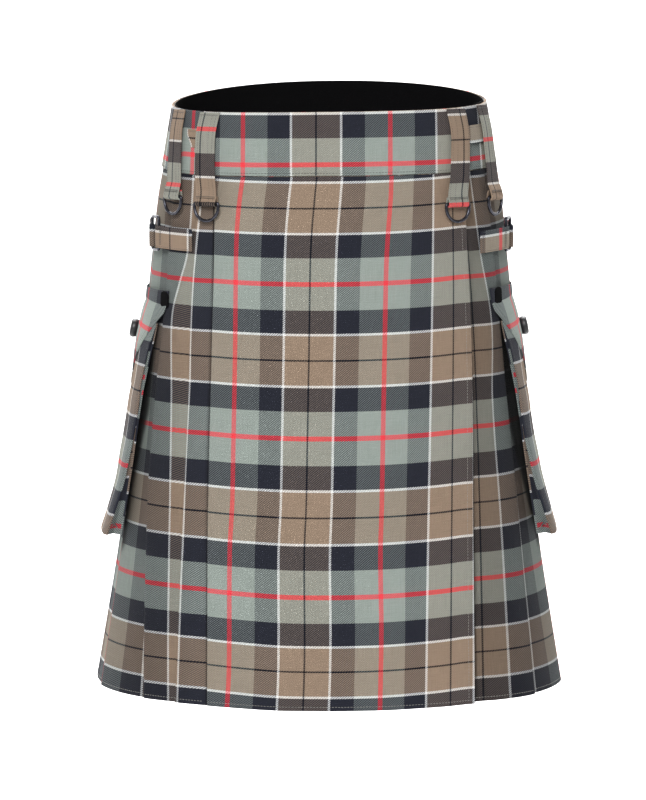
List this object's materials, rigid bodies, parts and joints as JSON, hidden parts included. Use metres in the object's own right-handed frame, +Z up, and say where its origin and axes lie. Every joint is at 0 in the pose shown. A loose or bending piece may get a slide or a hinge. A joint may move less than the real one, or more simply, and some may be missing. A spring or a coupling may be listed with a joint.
{
  "type": "utility kilt",
  "caption": "Wrapped tartan utility kilt in green, tan, navy and red, worn shape, with side cargo pockets, hanging straps with dark D-rings and a black-lined waist.",
  "frame": {"origin": "middle of the waist opening, level with the front top edge of the waistband, where the wearer's waist holds the kilt up", "axes": "+Z up, -Y out of the front of the kilt, +X towards the viewer's right when looking at the front"},
  "size_m": [0.4969, 0.3489, 0.6364],
  "materials": {
    "tartan_cloth": "twill woven tartan, matt with a light nap",
    "black_lining": "plain black lining, matt",
    "dark_metal": "gunmetal plated, glossy",
    "black_button": "satin black"
  },
  "bodies": {
    "kilt": {"waistband": "tartan_cloth", "front_apron": "tartan_cloth", "under_apron": "tartan_cloth", "left_side_pleats": "tartan_cloth", "right_side_pleats": "tartan_cloth", "back_pleats": "tartan_cloth", "strap_left_near": "tartan_cloth", "strap_left_far": "tartan_cloth", "strap_right_near": "tartan_cloth", "strap_right_far": "tartan_cloth", "side_tab_left": "tartan_cloth", "side_tab_right": "tartan_cloth", "hip_strap_left": "tartan_cloth", "hip_strap_rear_left": "tartan_cloth", "hip_strap_right": "tartan_cloth", "hip_strap_rear_right": "tartan_cloth", "pocket_back_left": "tartan_cloth", "pocket_front_left": "tartan_cloth", "pocket_gusset_left": "tartan_cloth", "pocket_flap_left": "tartan_cloth", "pocket_back_right": "tartan_cloth", "pocket_front_right": "tartan_cloth", "pocket_gusset_right": "tartan_cloth", "pocket_flap_right": "tartan_cloth", "waist_lining": "black_lining", "hip_ring_left": "dark_metal", "hip_ring_right": "dark_metal", "pocket_button_left": "black_button", "pocket_button_right": "black_button"},
    "ring_left_near": {"d_ring_left_near": "dark_metal"},
    "ring_left_far": {"d_ring_left_far": "dark_metal"},
    "ring_right_near": {"d_ring_right_near": "dark_metal"},
    "ring_right_far": {"d_ring_right_far": "dark_metal"}
  },
  "joints": [
    {"name": "swing_left_near", "type": "hinge", "parent": "kilt", "child": "ring_left_near", "pos_m": [-0.12674, -0.10583, -0.09372], "axis": [-0.8552, 0.5182, 0], "range_deg": [0, 110]},
    {"name": "swing_left_far", "type": "hinge", "parent": "kilt", "child": "ring_left_far", "pos_m": [-0.16247, -0.07395, -0.08842], "axis": [-0.6239, 0.7815, 0], "range_deg": [0, 110]},
    {"name": "swing_right_near", "type": "hinge", "parent": "kilt", "child": "ring_right_near", "pos_m": [0.13256, -0.10287, -0.09463], "axis": [-0.8314, -0.5556, 0], "range_deg": [0, 110]},
    {"name": "swing_right_far", "type": "hinge", "parent": "kilt", "child": "ring_right_far", "pos_m": [0.17281, -0.06061, -0.08975], "axis": [-0.5065, -0.8623, 0], "range_deg": [0, 110]}
  ]
}
